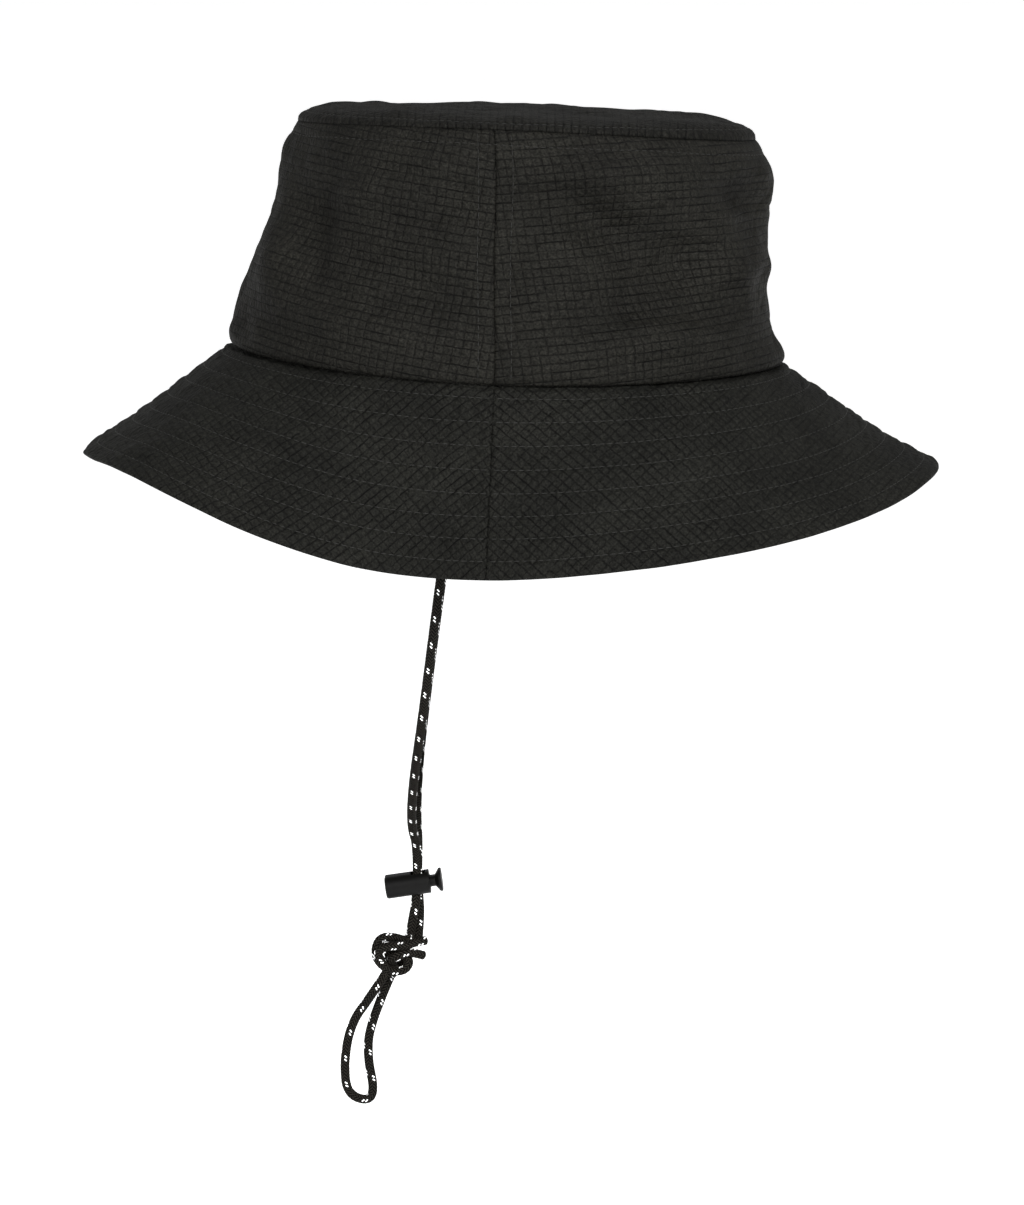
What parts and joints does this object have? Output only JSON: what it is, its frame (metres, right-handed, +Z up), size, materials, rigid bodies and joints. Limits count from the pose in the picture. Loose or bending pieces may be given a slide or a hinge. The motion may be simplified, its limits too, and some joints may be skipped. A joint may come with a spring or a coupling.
{
  "type": "bucket hat",
  "caption": "Soft ripstop bucket hat with a drooping stitched brim and a chin cord that hangs through a spring toggle to a knot and pull loop",
  "frame": {"origin": "centre of the head opening, at the height of the crown-to-brim seam at the front and back", "axes": "+Z up out of the crown, the hat's front toward -Y, the wearer's left toward +X"},
  "size_m": [0.2278, 0.323, 0.3842],
  "materials": {
    "crown_cloth": "crinkled ripstop, dull sheen",
    "brim_cloth": "crinkled ripstop, rows of topstitching",
    "interlining": "non-woven stiffener",
    "tape": "plain woven tape",
    "sweatband": "soft twill",
    "cord": "braided, with pale flecks",
    "lock_plastic": "fine matte moulding",
    "spring_steel": "drawn wire"
  },
  "bodies": {
    "hat": {"crown_tip": "crown_cloth", "crown_side_front": "crown_cloth", "crown_side_back": "crown_cloth", "tip_seam_tape": "tape", "side_seam_tape_left": "tape", "side_seam_tape_right": "tape", "sweatband": "sweatband", "cord_tab_left": "crown_cloth", "cord_tab_right": "crown_cloth", "brim_top_front": "brim_cloth", "brim_top_back": "brim_cloth", "brim_interlining_front": "interlining", "brim_interlining_back": "interlining", "brim_under_front": "brim_cloth", "brim_under_back": "brim_cloth"},
    "chin_cord": {"chin_cord_left_run": "cord", "chin_cord_right_run": "cord", "chin_cord_below_lock": "cord", "cord_knot": "cord", "pull_loop": "cord"},
    "cord_lock": {"cord_lock_barrel": "lock_plastic", "cord_lock_spring": "spring_steel"},
    "lock_plunger": {"cord_lock_plunger": "lock_plastic"}
  },
  "joints": [
    {"name": "chin_cord_swing", "type": "hinge", "parent": "hat", "child": "chin_cord", "pos_m": [0, -0.0139, -0.0193], "axis": [1, 0, 0], "range_deg": [-40, 40]},
    {"name": "lock_slide", "type": "slide", "parent": "chin_cord", "child": "cord_lock", "axis": [0, 0, 1], "range_m": [-0.012, 0.06], "deforming": ["chin_cord_left_run", "chin_cord_right_run", "chin_cord_below_lock"]},
    {"name": "plunger_press", "type": "slide", "parent": "cord_lock", "child": "lock_plunger", "axis": [0, -0.9839, -0.1788], "range_m": [0, 0.0025], "stiffness_N_per_m": 900, "springref_m": -0.002, "deforming": ["cord_lock_spring"]}
  ]
}
